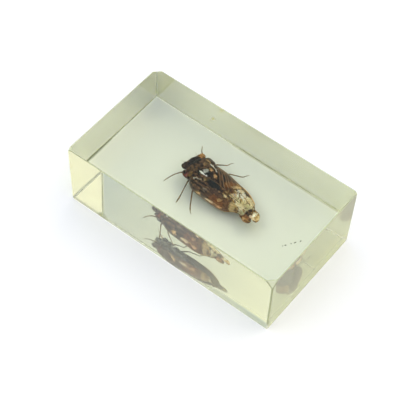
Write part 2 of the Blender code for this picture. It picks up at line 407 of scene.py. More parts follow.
def lump(centre, radii, turn=(0, 0, 0)):
    """An oval swelling, to be fused with others."""
    return begin(bpy.ops.mesh.primitive_uv_sphere_add, segments=24, ring_count=14,
                 location=centre, rotation=turn, scale=radii)


def pair(centre, radii, turn=(0, 0, 0)):
    """The same swelling on the left and on the right."""
    u, v, w = centre
    return [lump((u, side * v, w), radii, [side * turn[0], turn[1], side * turn[2]])
            for side in (-1, 1)]


def tube(stations):
    """A disc extruded from station to station: u, v, w, half width and half height of each."""
    add = bpy.ops.mesh.primitive_circle_add
    disc = begin(add, vertices=32, fill_type="NGON", rotation=(0, pi / 2, 0))
    settle()
    edit(disc)
    *place, half_v, half_w = stations[0]
    bpy.ops.transform.resize(value=(1, half_v, half_w), center_override=(0, 0, 0))
    bpy.ops.transform.translate(value=place)
    for *next_place, next_v, next_w in stations[1:]:
        step = Vector(next_place) - Vector(place)
        bpy.ops.mesh.extrude_region_move(TRANSFORM_OT_translate={"value": step})
        ratio = (1, next_v / half_v, next_w / half_w)
        bpy.ops.transform.resize(value=ratio, center_override=next_place)
        place, half_v, half_w = next_place, next_v, next_w
    return face_outwards(done())


def set_in_block(piece, finish):
    piece.matrix_world = TO_BLOCK @ piece.matrix_world
    place_in_frame(piece, ["cicada"], finish)


# %% [markdown]
# ## The trunk
# Head, collar, thorax and hips of an insect are one hard shell with swellings and furrows.
# They could be sculpted, but in code it is simpler to lay overlapping swellings, fuse them
# with a fine voxel remesh and soften the joints. The thorax is a tube through measured
# stations, and the abdomen a tube whose rings flare at the back like stacked cups.

# %% Lay out the trunk
THORAX = (  # u, half width, underside w, top w
    (-1.3, 2.5, 6.8, 10.8),
    (-0.7, 3.6, 6.0, 11.5),
    (0.3, 4.4, 5.6, 12.1),
    (1.5, 4.6, 5.2, 12.6),
    (2.2, 4.65, 5.1, 12.75),
    (2.45, 4.3, 5.2, 12.6),
    (3.0, 4.0, 5.0, 12.9),
    (4.6, 3.9, 4.9, 13.1),
    (6.4, 3.4, 5.0, 12.6),
    (7.6, 2.9, 5.2, 11.6),
)
ABDOMEN = (  # the same, before the rings flare
    (6.0, 3.2, 5.0, 11.6),
    (9.0, 3.0, 4.9, 11.2),
    (11.2, 2.6, 5.0, 10.3),
    (14.0, 1.9, 5.3, 9.3),
    (16.6, 0.8, 6.2, 8.3),
    (17.2, 0.4, 6.6, 7.8),
)
RINGS, RING_START, RING_LENGTH = 8, 6.6, 1.24
RING_FLARE = (0.0, 0.95), (0.82, 1.04), (1.0, 1.02)  # share of the ring, how wide it is there
BEND_START, TAIL_BEND = 6.0, 0.0075


def abdomen_stations():
    """Three stations to a ring: narrow where it leaves the ring before, wide at its rim."""
    stations = []
    along, *columns = zip(*ABDOMEN)
    for ring in range(RINGS):
        for share, flare in RING_FLARE:
            u = RING_START + (ring + share) * RING_LENGTH
            half_v, under, top = (float(np.interp(u, along, column)) for column in columns)
            middle = (under + top) / 2
            v = TAIL_BEND * max(u - BEND_START, 0.0) ** 2
            stations.append((u, v, middle, half_v * flare, (top - under) / 2 * flare))
    return stations


thorax_stations = [
    (u, 0, (under + top) / 2, half_v, (top - under) / 2) for u, half_v, under, top in THORAX
]
swellings = [tube(thorax_stations), tube(abdomen_stations())]
swellings += [
    lump((-1.4, 0, 9.1), (1.6, 3.2, 1.75)),  # head
    lump((-1.9, 0, 10.2), (0.9, 1.3, 0.5)),  # crown between the eyes
    lump((-1.75, 0, 7.6), (1.3, 1.35, 2.0)),  # face
    lump((4.4, 0, 11.4), (2.6, 3.1, 1.9)),  # back shield
    lump((7.1, 0, 12.3), (0.8, 0.8, 0.5)),  # knot behind the shield
    lump((16.6, 0.85, 7.2), (0.9, 0.6, 0.8)),  # tail end
]
for centre, radii, *turn in (  # in pairs
    ((-1.9, 2.3, 9.4), (1.0, 1.0, 0.9)),  # eye sockets
    ((0.6, 3.8, 7.9), (1.8, 1.35, 1.1)),  # collar lobes
    ((1.9, 4.2, 8.6), (0.8, 0.8, 1.5)),  # collar corners
    ((-0.1, 2.5, 6.0), (1.25, 1.05, 1.4)),  # front hips
    ((1.9, 2.0, 5.3), (1.1, 1.1, 0.8)),  # middle hips
    ((4.9, 1.9, 5.3), (1.1, 1.1, 0.8)),  # hind hips
    ((7.6, 1.6, 5.0), (1.7, 1.3, 0.35)),  # plates under the first rings
    ((6.1, 1.15, 12.45), (1.35, 0.28, 0.35), (0, 0, radians(-38))),  # cross behind the shield
    ((7.9, 0.8, 12.0), (1.0, 0.26, 0.35), (0, 0.35, radians(35))),  # its hind arms
    ((3.4, 2.0, 12.2), (2.4, 0.35, 0.6), (0, 0, radians(14))),  # keels on the shield
):
    swellings += pair(centre, radii, *turn)
for rib in range(7):  # across the face, from the brow down
    centre = (-2.35 + 0.05 * rib, 0, 8.9 - 0.42 * rib)
    swellings.append(lump(centre, (0.72, 1.2 - 0.06 * rib, 0.17)))

trunk = join("cicada_trunk", swellings)
fit(trunk, "REMESH", mode="VOXEL", voxel_size=0.13)
fit(trunk, "SMOOTH", factor=0.5, iterations=2)

# %% [markdown]
# A dried shell is never smooth. A procedural cloud pushes the surface in and out by less than
# a tenth of a millimetre, which breaks up the highlights as on the real one.

# %% Wrinkle the trunk
wrinkles = bpy.data.textures.new("wrinkles", "CLOUDS")
wrinkles.noise_scale = 0.8
wrinkles.noise_depth = 3


def wrinkle(piece, strength):
    """Pushes the surface in and out by half the strength at most."""
    fit(piece, "DISPLACE", texture=wrinkles, strength=strength)


wrinkle(trunk, 0.16)
print("trunk", len(trunk.data.polygons), "faces")

# %% [markdown]
# ## Eyes
# Each eye is a smooth oval bead set in its socket, and three simple eyes sit as small beads
# on the crown.

# %% Model the eyes


def bead(centre, radii, inward):
    """A ball whose inner half is pressed flat towards the head."""
    thing = lump(centre, radii)
    settle()
    edit(thing)
    inward = Vector(inward)
    pick("verts", lambda vert: (vert.co - Vector(centre)).dot(inward) > 0.05)
    flat = [0.4 if abs(part) > 0.5 else 1.0 for part in inward]
    bpy.ops.transform.resize(value=flat, center_override=centre)
    return done()


SIMPLE_EYE = (0.17, 0.17, 0.17)

beads = [bead((-1.75, side * 3.05, 9.2), (1.1, 1.05, 1.05), (0, -side, 0)) for side in (-1, 1)]
for u, v in ((-1.95, 0.0), (-1.6, 0.35), (-1.6, -0.35)):
    beads.append(bead((u, v, 10.72), SIMPLE_EYE, (0, 0, -1)))
eyes = join("cicada_eyes", beads)
fit(eyes, "SUBSURF", levels=1, render_levels=1)

# %% [markdown]
# ## Legs
# A leg is a chain of joints, drawn as a line of points from hip to claw. The Skin modifier
# wraps it in a hull, thick at the thigh and thin at the foot, and two subdivisions round
# that. Feelers and beak are made the same way.

# %% Model the legs
LEGS = (  # u, v, w and radius of each joint
    (  # front left
        (-0.2, -2.5, 6.4, 0.55), (-0.9, -3.6, 6.3, 0.36), (-1.6, -4.7, 6.2, 0.22),
        (-2.0, -6.0, 6.0, 0.16), (-2.2, -7.1, 5.8, 0.15), (-2.2, -8.8, 5.6, 0.14),
        (-2.1, -10.0, 5.5, 0.12), (-1.95, -10.4, 5.4, 0.06),
    ),
    (  # middle left
        (1.6, -2.4, 6.4, 0.5), (1.7, -3.4, 5.7, 0.34), (1.9, -4.6, 5.0, 0.24),
        (2.9, -6.4, 4.1, 0.16), (4.0, -8.4, 3.2, 0.17), (4.5, -9.3, 2.8, 0.24),
        (4.9, -10.3, 2.3, 0.21), (5.2, -11.0, 2.0, 0.1),
    ),
    (  # hind left
        (4.8, -2.2, 6.2, 0.5), (5.0, -3.8, 5.4, 0.34), (5.3, -5.3, 4.7, 0.24),
        (7.2, -7.0, 4.3, 0.2), (9.0, -8.6, 4.05, 0.19), (9.9, -9.3, 4.0, 0.22),
        (10.8, -9.9, 4.1, 0.11), (11.6, -10.2, 4.2, 0.09),
    ),
    (  # front right
        (-0.4, 2.5, 6.6, 0.55), (-1.8, 3.4, 6.8, 0.4), (-3.1, 4.2, 6.8, 0.3),
        (-3.9, 4.6, 6.5, 0.18), (-4.6, 5.0, 6.2, 0.14), (-5.5, 5.8, 6.0, 0.12),
        (-6.1, 6.3, 5.8, 0.06),
    ),
    (  # middle right
        (1.4, 2.4, 6.4, 0.5), (1.7, 4.0, 6.3, 0.36), (2.0, 5.6, 6.1, 0.26),
        (3.0, 7.0, 6.0, 0.17), (4.0, 8.2, 6.0, 0.16), (3.9, 9.3, 5.7, 0.13),
        (4.1, 10.4, 5.4, 0.07),
    ),
    (  # hind right
        (5.2, 2.2, 6.2, 0.5), (5.9, 4.7, 5.8, 0.32), (6.7, 7.1, 5.3, 0.22),
        (8.2, 8.4, 5.1, 0.17), (9.6, 9.6, 5.0, 0.18), (9.8, 10.8, 4.8, 0.12),
        (10.0, 11.8, 4.6, 0.07),
    ),
)


def chain(points):
    """A line of edges through the points, drawn by extruding one vertex."""
    thing = begin(bpy.ops.mesh.primitive_plane_add, size=0.01, location=points[0])
    settle()
    edit(thing)
    bpy.ops.mesh.merge(type="CENTER")
    for start, end in zip(points, points[1:]):
        step = Vector(end) - Vector(start)
        bpy.ops.mesh.extrude_vertices_move(TRANSFORM_OT_translate={"value": step})
    return done()


def limb(joints):
    """A chain with a hull around it, as thick at each joint as the table says."""
    thing = chain([joint[:3] for joint in joints])
    only(thing)
    bpy.ops.object.modifier_add(type="SKIN")
    for vert, skinned in zip(thing.data.vertices, thing.data.skin_vertices[0].data):
        nearest = min(joints, key=lambda joint: (Vector(joint[:3]) - vert.co).length)
        skinned.radius = (nearest[3], nearest[3])
    bpy.ops.object.modifier_apply(modifier=thing.modifiers[-1].name)
    fit(thing, "SUBSURF", levels=2, render_levels=2)
    return thing


legs = join("cicada_legs", [limb(joints) for joints in LEGS])
feelers = [limb(((-2.5, side * 1.5, 8.7, 0.09), (-3.1, side * 1.9, 8.7, 0.06),
                 (-3.9, side * 2.4, 8.5, 0.035), (-4.6, side * 2.7, 8.2, 0.025)))
           for side in (-1, 1)]
beak = limb(((-1.7, 0, 6.2, 0.5), (-1.0, 0, 5.3, 0.32), (0.6, 0, 4.9, 0.2), (3.2, 0, 4.7, 0.1)))
mouth = join("cicada_beak_and_feelers", [beak, *feelers])

# %% [markdown]
# ## Wings
# The folded wings lie over the body like a roof, each a thin bowed sheet. It starts as a flat
# grid whose columns are lifted to one even arch; then every row is scaled, tilted and moved
# to its own station along the body, and last it gets its thickness. The grid keeps its flat
# map, so a finish can follow the outer rim.

# %% Model the wing sheets
LEFT_WING = (  # u, inner edge v and w, outer edge v and w, arch
    (2.4, -2.4, 12.1, -4.5, 6.9, 0.7),
    (5.2, -1.4, 13.1, -5.2, 5.3, 1.5),
    (9.9, 0.4, 12.4, -4.0, 4.5, 1.8),
    (14.2, 1.2, 11.3, -2.7, 4.1, 1.4),
    (16.3, 1.7, 10.6, -1.5, 4.1, 0.9),
    (17.8, 2.1, 9.9, 0.1, 4.5, 0.5),
    (19.6, 2.5, 9.1, 0.9, 5.3, 0.3),
    (21.2, 2.8, 8.5, 0.2, 6.6, 0.2),
    (22.7, 2.6, 7.9, 0.0, 6.6, 0.1),
    (23.8, 2.0, 7.4, 0.4, 6.7, 0.1),
    (24.3, 1.6, 7.1, 0.9, 6.8, 0.0),
)
RIGHT_WING = (
    (2.6, 2.2, 12.0, 4.7, 7.7, 0.5),
    (6.5, 0.9, 12.7, 6.1, 7.0, 1.0),
    (11.1, -0.1, 11.9, 6.7, 6.4, 1.3),
    (15.8, 0.4, 10.7, 7.1, 6.4, 1.0),
    (19.9, 1.2, 9.2, 6.1, 7.0, 0.6),
    (21.6, 1.6, 8.3, 5.0, 7.4, 0.3),
    (23.4, 2.1, 7.6, 5.1, 7.4, 0.2),
    (24.7, 2.2, 7.3, 4.4, 7.3, 0.1),
    (25.4, 2.6, 7.2, 3.5, 7.2, 0.0),
)
ROWS_PER_STATION = 6
WING_COLUMNS = 16
WING_THICKNESS = 0.12


def station_at(wing, number):
    """A station at a fractional number, on the smooth curve through the given ones."""
    last = len(wing) - 1
    first = min(int(number), last - 1)
    t = number - first
    near = [wing[min(max(first + k, 0), last)] for k in (-1, 0, 1, 2)]
    row = []
    for a, b, c, d in zip(*near):
        bend = (2 * a - 5 * b + 4 * c - d) * t * t + (3 * b - a - 3 * c + d) * t**3
        row.append(b + ((c - a) * t + bend) / 2)
    return row


def row_at(wing, number):
    """Inner and outer end of a row across the wing, and the height of its arch between."""
    u, inner_v, inner_w, outer_v, outer_w, arch = station_at(wing, number)
    up = 1 if outer_v > inner_v else -1
    return Vector((u, inner_v, inner_w)), Vector((u, outer_v, outer_w)), arch * up


def bow(share):
    """The height of an even arch of height 1, at a share of its width."""
    return 4 * share * (1 - share)


def wing_sheet(wing):
    """One wing as a sheet without thickness."""
    rows = (len(wing) - 1) * ROWS_PER_STATION
    edit(begin(bpy.ops.mesh.primitive_grid_add, size=1,
               x_subdivisions=rows, y_subdivisions=WING_COLUMNS))
    for column in range(WING_COLUMNS + 1):
        share = column / WING_COLUMNS
        pick("verts", lambda vert: abs(vert.co.y + 0.5 - share) < 0.2 / WING_COLUMNS)
        bpy.ops.transform.translate(value=(0, 0, bow(share)))
    for row in range(rows, -1, -1):
        inner, outer, arch = row_at(wing, row / ROWS_PER_STATION)
        across = outer - inner
        tilt = atan2(across.z, across.y)
        here = (row / rows - 0.5, 0, 0)
        pick("verts", lambda vert: abs(vert.co.x - here[0]) < 0.2 / rows)
        bpy.ops.transform.resize(value=(1, across.length, arch), center_override=here)
        bpy.ops.transform.rotate(value=-tilt, orient_axis="X", center_override=here)
        bpy.ops.transform.translate(value=(inner + outer) / 2 - Vector(here))
    return done()


def wing_point(wing, u, share):
    """The place on a wing at u along the body and a share of the way to its outer edge."""
    low, high = 0.0, len(wing) - 1.0
    for _ in range(30):  # halvings, far more than the eye could tell
        middle = (low + high) / 2
        low, high = (middle, high) if station_at(wing, middle)[0] < u else (low, middle)
    inner, outer, arch = row_at(wing, low)
    across = outer - inner
    up = Vector((0, -across.z, across.y)).normalized()
    return inner + across * share + up * arch * bow(share)


sheets = {}
for side, wing in (("left", LEFT_WING), ("right", RIGHT_WING)):
    sheet = wing_sheet(wing)
    sheet.name = "cicada_" + side + "_wing"
    fit(sheet, "SOLIDIFY", thickness=WING_THICKNESS, offset=0.0)
    sheets[side] = face_outwards(sheet)
    end = wing_point(wing, wing[-1][0], 0.5)
    print(side, "wing reaches", [round(part, 2) for part in end])

# %% [markdown]
# ## Veins
# Veins are the frame of a wing: hollow tubes that stand out from the film. Each is drawn as a
# chain of short edges along the wing, turned into a curve, given a round section and turned
# back into a mesh. The routes are given on the wing itself, as u and share of the width.

# %% Draw the veins
LEFT_VEINS = (  # radius, then u and share of the width along the route
    (0.15, (3.0, 0.99), (6.5, 1.0), (11.0, 1.0), (16.0, 1.0), (18.5, 1.0), (21.0, 1.0)),
    (0.09, (3.0, 0.8), (6.0, 0.84), (9.5, 0.87), (12.5, 0.92), (15.0, 0.995)),
    (0.08, (3.0, 0.55), (5.0, 0.6), (7.5, 0.68), (10.5, 0.74), (14.0, 0.8), (18.5, 0.86)),
    (0.08, (5.0, 0.6), (6.0, 0.5), (8.5, 0.52), (11.5, 0.6), (15.0, 0.64), (19.5, 0.66)),
    (0.08, (3.0, 0.35), (6.0, 0.36), (9.0, 0.38), (12.0, 0.45), (16.0, 0.46), (20.0, 0.45)),
    (0.07, (3.0, 0.18), (7.0, 0.2), (10.5, 0.25), (14.0, 0.3), (18.0, 0.28)),
    (0.09, (3.0, 0.02), (8.0, 0.01), (13.0, 0.01), (17.0, 0.01)),
    (0.06, (10.5, 0.74), (11.2, 0.67), (11.5, 0.6)),
    (0.06, (14.0, 0.8), (14.8, 0.72), (15.0, 0.64)),
    (0.06, (12.0, 0.45), (12.6, 0.37), (12.8, 0.28)),
    (0.06, (15.0, 0.64), (15.6, 0.55), (16.0, 0.46)),
)
RIGHT_VEINS = (
    (0.15, (3.0, 0.99), (6.5, 1.0), (11.0, 1.0), (13.5, 1.0)),
    (0.2, (13.2, 1.0), (16.0, 1.0), (18.5, 1.0), (20.0, 1.0)),
    (0.1, (3.5, 0.8), (7.0, 0.86), (10.0, 0.88), (12.5, 0.92), (14.5, 0.99)),
    (0.11, (4.5, 0.62), (7.0, 0.76), (9.5, 0.68), (12.3, 0.52), (15.0, 0.5), (20.0, 0.6)),
    (0.11, (4.5, 0.58), (7.0, 0.66), (9.0, 0.55), (10.8, 0.41), (12.6, 0.33), (17.0, 0.4)),
    (0.11, (4.5, 0.52), (6.8, 0.56), (8.9, 0.43), (11.6, 0.28), (13.6, 0.21)),
    (0.11, (4.5, 0.44), (6.5, 0.46), (9.1, 0.28), (11.1, 0.17), (13.0, 0.1)),
    (0.1, (4.5, 0.36), (6.4, 0.34), (8.6, 0.18), (10.4, 0.08), (11.8, 0.03)),
    (0.07, (12.3, 0.52), (14.0, 0.66), (17.0, 0.78), (20.5, 0.8)),
    (0.06, (15.0, 0.5), (15.7, 0.6), (16.2, 0.76)),
    (0.06, (17.0, 0.4), (17.6, 0.5), (18.0, 0.56)),
)
VEIN_STEP = 0.35


def vein(wing, radius, route):
    """A round tube along a route on the wing."""
    points = []
    for (u, share), (next_u, next_share) in zip(route, route[1:]):
        steps = max(int(abs(next_u - u) / VEIN_STEP), 2)
        for t in (step / steps for step in range(steps)):
            here = u + (next_u - u) * t, share + (next_share - share) * t
            points.append(wing_point(wing, *here))
    points.append(wing_point(wing, *route[-1]))
    thing = chain(points)
    only(thing)
    bpy.ops.object.convert(target="CURVE")
    curve = bpy.context.object.data
    curve.bevel_depth = radius
    curve.bevel_resolution = 1
    curve.use_fill_caps = True
    bpy.ops.object.convert(target="MESH")
    return bpy.context.object


veins = {}
for side, wing, routes in (("left", LEFT_WING, LEFT_VEINS), ("right", RIGHT_WING, RIGHT_VEINS)):
    tubes = [vein(wing, radius, route) for radius, *route in routes]
    veins[side] = join("cicada_" + side + "_veins", tubes)

# %% [markdown]
# ## Finishes of the cicada
# All of its finishes share one start: the place on the bench, worked back from the place in
# the block, so that a mark can be given in millimetres along and across the cicada. A mark
# is a soft oval, and a little cloudiness in the place keeps its outline from being neat.

# %% Shared painting tools
WAVER = 2.0  # how far the clouding moves a place, in millimetres
FRAY = 1.6  # how far cloudiness eats into the rim of a mark, in radii
ENDLESS = 1000.0  # the upright radius of a mark that is a column


def bench_place(finish):
    """The place in the cicada's own millimetres, plain and with a little clouding."""
    where = finish.add("ShaderNodeTexCoord", out=3)
    clean = finish.within(where, (MM, MM, MM), BENCH_TURN, BENCH_PLACE)
    cloud = finish.grain(clean, 1.1, 3.0, 0.6, out=1)
    shift = finish.vector("SUBTRACT", [cloud, (0.5, 0.5, 0.5)])
    shift = finish.vector("SCALE", {0: shift, 3: WAVER})
    return clean, finish.vector("ADD", [clean, shift])


def mark(finish, where, centre, radii, turn=0.0, soft=0.3, fray=None):
    """A mask that is 1 inside an upright oval column, or an egg, and fades over its rim."""
    centre, radii = (*centre, 0.0)[:3], (*radii, ENDLESS)[:3]
    spot = finish.within(where, radii, radians(turn), centre)
    reach = finish.vector("LENGTH", [spot], out=1)
    if fray:
        reach = reach + (fray - 0.5) * FRAY
    return finish.span(reach, 1.0 + soft, 1.0 - soft)


def paint_marks(finish, where, fray, colour, marks):
    """Lays marks with frayed rims over a colour, one after another."""
    for name, centre, radii, turn, strength, tone in marks:
        mask = mark(finish, where, centre, radii, turn, 0.2, fray)
        colour = finish.blend(mask * strength, colour, tone)
    return colour


def mottled(finish, colour, pattern, darkest, lightest):
    """The colour made darker and lighter in turn, as a cloudy pattern says."""
    strength = finish.span(pattern, 0.38, 0.62, darkest, lightest)
    return finish.vector("SCALE", {0: colour, 3: strength})


# %% [markdown]
# The trunk is dark brown, nearly black on the shield, with tan and reddish places on the
# collar. Where the resin shrank off the shield, thin films of air shine like silver: their
# white colour is a painted reflection of the light, with some real metallic shine. The
# underside shows only in the mirror images, as blue-grey with dark bands.

# %% Paint the trunk
TRUNK_MARKS = (  # name, centre u v, radii, turn in degrees, strength, colour
    ("crown", (-1.2, 0.0), (1.5, 2.4), 0, 0.9, (0.014, 0.014, 0.016)),
    ("left lobe", (1.0, -4.6), (0.9, 0.7), 0, 0.9, (0.2, 0.055, 0.045)),
    ("left lobe tip", (0.1, -4.4), (0.5, 0.45), 0, 0.8, (0.01, 0.006, 0.005)),
    ("olive patch", (2.2, -3.6), (0.6, 0.8), 0, 0.85, (0.22, 0.125, 0.035)),
    ("collar middle", (1.2, 0.6), (0.8, 1.7), 0, 0.5, (0.11, 0.06, 0.04)),
    ("collar right", (2.3, 1.6), (0.6, 0.9), 0, 0.85, (0.34, 0.2, 0.085)),
    ("right lobe", (0.1, 4.6), (0.9, 0.8), 0, 0.8, (0.065, 0.04, 0.012)),
    ("right lobe rim", (1.5, 3.05), (0.9, 0.38), 5, 0.95, (0.6, 0.36, 0.15)),
    ("brow", (-1.8, 2.9), (0.8, 0.9), 0, 0.9, (0.68, 0.33, 0.1)),
    ("shield left", (3.9, -2.4), (1.2, 1.2), 0, 0.95, (0.003, 0.005, 0.006)),
    ("shield middle", (5.2, -0.7), (1.5, 1.2), 0, 0.95, (0.003, 0.005, 0.006)),
    ("shield right", (6.3, 0.3), (0.7, 0.9), 0, 0.6, (0.008, 0.006, 0.006)),
    ("grey sheen", (4.5, -0.15), (0.85, 0.8), 0, 0.95, (0.38, 0.39, 0.37)),
    ("first spot", (4.8, 1.5), (0.55, 0.42), -15, 0.95, (0.6, 0.33, 0.15)),
)
# Air films: their white is a painted reflection of the overhead light; the metallic shine that
# follows their brightness is real.
FILM_REFLECTION_MARKS = (
    ("long film reflection", (4.65, -1.36), (1.35, 0.3), 2, 1.0, (0.97, 0.97, 0.95)),
    ("film foot reflection", (5.85, -1.05), (0.38, 0.4), 0, 0.95, (0.85, 0.85, 0.8)),
    ("right film reflection", (3.7, 2.9), (1.1, 0.26), 3, 1.0, (0.92, 0.9, 0.86)),
)

UNDERSIDE = (7.2, 6.2)  # the heights between which it begins
DARK_BAND, LIGHT_BAND = (0.03, 0.032, 0.04), (0.42, 0.44, 0.5)

shell = Finish("dry shell", Roughness=0.35, IOR=1.2)
clean, wavering = bench_place(shell)
coarse = shell.grain(wavering, 1.3)
fine = shell.grain(clean, 3.0, 3.0)
colour = shell.blend(shell.span(coarse, 0.42, 0.6), (0.016, 0.01, 0.007), (0.13, 0.066, 0.028))
colour = paint_marks(shell, wavering, fine, colour, TRUNK_MARKS)
bands = shell.grain(shell.within(clean, (0.45, 2.5, 1.5)), 1.0)
banded = shell.blend(shell.span(bands, 0.44, 0.58), DARK_BAND, LIGHT_BAND)
underneath = shell.span(shell.parts(clean)[2], *UNDERSIDE)
colour = shell.blend(underneath * 0.8, colour, banded)
colour = mottled(shell, colour, coarse * 0.5 + fine * 0.5, 0.35, 1.5)
# The painted reflections of the air films go over the mottled colour.
colour = paint_marks(shell, clean, fine, colour, FILM_REFLECTION_MARKS)
shine = shell.span(shell.brightness(colour), 0.35, 0.75) * 0.6
normal = shell.bump(fine, 0.5, 0.08 * MM)
shell.shade(Base_Color=colour, Metallic=shine, Normal=normal)
set_in_block(trunk, shell.material)

# %% [markdown]
# The eyes are brown glass beads, the right one lit through and redder. The legs are amber
# brown, dark at the hips, and the light shines through their thin ends.

# %% Paint eyes, legs and mouth
eye = Finish("eye", Roughness=0.15, IOR=1.3)
clean, _ = bench_place(eye)
speckle = eye.grain(clean, 3.0)
tone = eye.blend(eye.span(speckle, 0.4, 0.65), (0.016, 0.01, 0.006), (0.085, 0.045, 0.02))
right_side = mark(eye, clean, (-2.0, 3.0), (1.2, 1.0))
tone = eye.blend(right_side * 0.9, tone, (0.66, 0.33, 0.1))
eye.shade(Base_Color=mottled(eye, tone, speckle, 0.5, 1.3))
set_in_block(eyes, eye.material)

horn = Finish("amber horn", Roughness=0.35, IOR=1.2)
clean, wavering = bench_place(horn)
cloud = horn.grain(wavering, 1.4, 3.0)
tone = horn.blend(horn.span(cloud, 0.38, 0.62), (0.11, 0.058, 0.026), (0.36, 0.21, 0.095))
near_body = mark(horn, clean, (3.5, 0.0), (6.5, 4.6), 0, 0.25)
tone = horn.blend(near_body * 0.7, tone, (0.05, 0.025, 0.012))
tone = horn.blend(mark(horn, clean, (-2.9, 4.0), (1.3, 0.9), 30), tone, (0.62, 0.31, 0.1))
horn.shade(Base_Color=tone)
set_in_block(legs, horn.material)
set_in_block(mouth, horn.material)

# %% [markdown]
# The wing film is dark at the front and clears towards the tip. The left wing is purple
# brown with rusty, golden flecks low down; the right one turns through rust to a silvery,
# crackled patch and then to clear pale yellow. Both end in brown and golden lobes. Marks lay
# the large fields, and streaks, specks and cracks from noise break them up, as on real film.
# Near the front, white streaks of air film are painted reflections of the light, and the
# small golden specks are painted glints.
# Underneath, the film is a streaked grey, painted light shining through it, which only the
# mirror images show.

# %% Paint the wings
LEFT_MARKS = (  # columns as for the trunk
    # The next three marks are an air film: its white is a painted reflection of the light.
    ("front film reflection", (4.6, -3.45), (1.1, 0.24), 22, 0.9, (0.46, 0.47, 0.43)),
    ("film start reflection", (3.7, -3.85), (0.35, 0.3), 0, 0.95, (0.78, 0.78, 0.72)),
    ("film end reflection", (5.9, -2.85), (0.55, 0.2), 32, 0.85, (0.42, 0.38, 0.3)),
    ("knot", (7.2, -1.3), (0.85, 0.45), 50, 0.9, (0.26, 0.15, 0.035)),
    ("knot side", (6.6, -2.0), (0.5, 0.35), -30, 0.85, (0.28, 0.2, 0.09)),
    ("teal ridge", (9.3, -0.4), (2.4, 1.5), 15, 1.0, (0.003, 0.01, 0.012)),
    ("purple field", (11.0, -2.2), (2.3, 1.0), 25, 0.8, (0.055, 0.025, 0.026)),
    ("rusty field", (13.4, -2.9), (3.0, 1.2), 20, 0.85, (0.22, 0.062, 0.01)),
    ("brown field", (15.9, -0.6), (1.6, 1.4), 20, 0.85, (0.16, 0.058, 0.018)),
    ("front line", (8.8, -3.35), (0.9, 0.18), 30, 0.9, (0.34, 0.26, 0.18)),
    ("edge fleck", (7.6, -4.75, 6.7), (0.9, 0.6, 0.85), 5, 1.0, (0.95, 0.6, 0.28)),
    ("gold fleck", (11.4, -3.95, 6.2), (1.6, 0.7, 0.8), 18, 1.0, (1.0, 0.76, 0.52)),
    ("rust fleck", (13.4, -3.3, 6.6), (0.9, 0.6, 0.45), 15, 0.9, (0.72, 0.36, 0.16)),
    ("low rust fleck", (14.7, -2.8, 5.8), (1.1, 0.7, 0.8), 25, 1.0, (0.88, 0.5, 0.25)),
    ("tan arc", (13.5, -2.0), (0.8, 0.22), 20, 0.9, (0.6, 0.33, 0.14)),
    ("ridge ring", (14.2, 0.35), (1.15, 0.8), 10, 0.95, (0.5, 0.32, 0.13)),
    ("ridge gold", (14.1, 0.0), (0.5, 0.42), 0, 0.95, (0.92, 0.74, 0.44)),
    ("ridge cream", (15.7, 1.25), (1.1, 0.4), 10, 0.9, (0.9, 0.72, 0.46)),
    ("tan end", (17.4, 0.5), (1.2, 1.4), 10, 0.8, (0.92, 0.68, 0.36)),
    ("knob", (18.45, 0.7), (0.5, 0.55), 0, 0.9, (0.17, 0.07, 0.015)),
    ("knob light", (18.6, 1.0), (0.25, 0.3), 0, 0.9, (0.9, 0.6, 0.3)),
    ("pale neck", (19.5, 1.5), (0.65, 0.9), 0, 0.9, (1.0, 0.88, 0.66)),
    ("neck dot", (20.15, 1.65), (0.3, 0.3), 0, 0.95, (0.09, 0.035, 0.015)),
    ("pale place", (20.5, 1.25), (0.65, 0.75), 0, 0.95, (1.0, 0.92, 0.74)),
    ("red tail", (22.5, 1.1), (1.4, 1.3), 0, 0.95, (0.34, 0.13, 0.045)),
    ("tail tip", (21.6, 0.1), (0.5, 0.45), 0, 0.9, (0.07, 0.024, 0.008)),
    ("tail light", (22.2, 0.45), (0.55, 0.35), 20, 0.9, (0.75, 0.46, 0.24)),
    ("tail spot", (23.7, 1.3), (0.35, 0.4), 0, 0.9, (0.05, 0.02, 0.006)),
)
